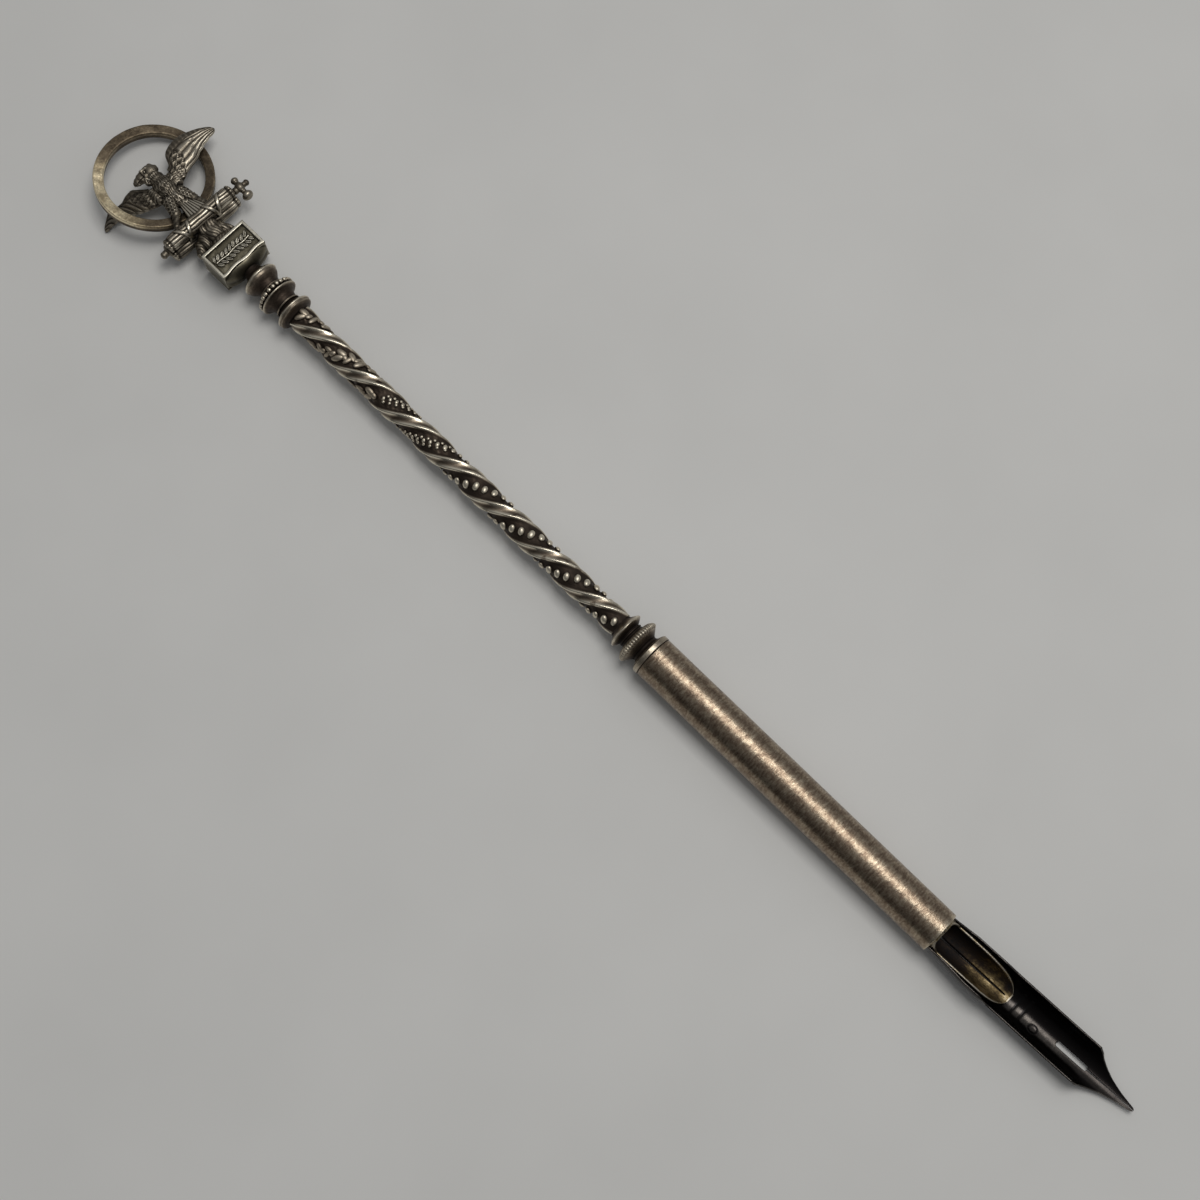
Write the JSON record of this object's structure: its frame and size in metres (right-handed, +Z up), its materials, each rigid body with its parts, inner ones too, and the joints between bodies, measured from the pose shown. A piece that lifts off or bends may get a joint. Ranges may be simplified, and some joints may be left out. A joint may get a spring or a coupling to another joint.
{
  "type": "dip pen",
  "caption": "Metal dip pen: eagle in a hoop on a plinth, turned knops, twisted beaded shaft, plain tube barrel, split inner tongue and a removable pointed nib.",
  "frame": {"origin": "centre of the barrel's mouth, on the pen's axis", "axes": "+X along the axis toward the nib's point, +Z up as the pen lies with the eagle's breast uppermost, +Y across"},
  "size_m": [0.193, 0.0213, 0.0068],
  "materials": {
    "silver_cast": "cast silver, heavily tarnished in the hollows, worn bright on the ridges",
    "silver_ring": "silver with a yellowed, slightly gilt surface",
    "silver_plinth": "silver, bright worn frame and dull brown panel",
    "silver_turned": "turned silver with dark tarnish in the grooves",
    "silver_shaft": "twisted silver, bright ribbons and near-black hollows",
    "silver_barrel": "plain silver tube, satin, brown tarnish specks",
    "silver_inner": "hidden silver pins and plug, plain",
    "brass_tongue": "brass, ink-stained brown",
    "brass_inner": "hidden brass ring, plain",
    "nib_steel": "blued-black spring steel, semi-gloss"
  },
  "bodies": {
    "holder": {"barrel_tube": "silver_barrel", "barrel_plug": "silver_inner", "slot_stop_ring": "brass_inner", "split_tongue": "brass_tongue", "end_band": "silver_turned", "cove_ring": "silver_turned", "milled_disc": "silver_turned", "knife_disc": "silver_turned", "lower_pin": "silver_inner", "twisted_shaft": "silver_shaft", "bead_row_one": "silver_shaft", "bead_row_two": "silver_shaft", "leaf_row_one": "silver_shaft", "leaf_row_two": "silver_shaft", "thin_knop": "silver_turned", "beaded_knop": "silver_turned", "pearl_ring": "silver_turned", "plain_knop": "silver_turned", "lower_washer": "silver_turned", "upper_washer": "silver_turned", "knop_pin": "silver_inner", "plinth_block": "silver_plinth", "front_panel": "silver_plinth", "back_panel": "silver_plinth", "plinth_base": "silver_plinth", "bundle_socket": "silver_cast", "front_bundle": "silver_cast", "rear_bundle": "silver_cast", "upper_strap": "silver_cast", "lower_strap": "silver_cast", "upper_terminal": "silver_cast", "lower_terminal": "silver_cast", "eagle_body": "silver_cast", "right_wing": "silver_cast", "left_wing": "silver_cast", "right_leg": "silver_cast", "left_leg": "silver_cast", "wreath_ring": "silver_ring"},
    "nib_point": {"nib": "nib_steel"}
  },
  "joints": [
    {"name": "nib_slide", "type": "slide", "parent": "holder", "child": "nib_point", "axis": [1, 0, 0], "range_m": [0, 0.022]}
  ]
}
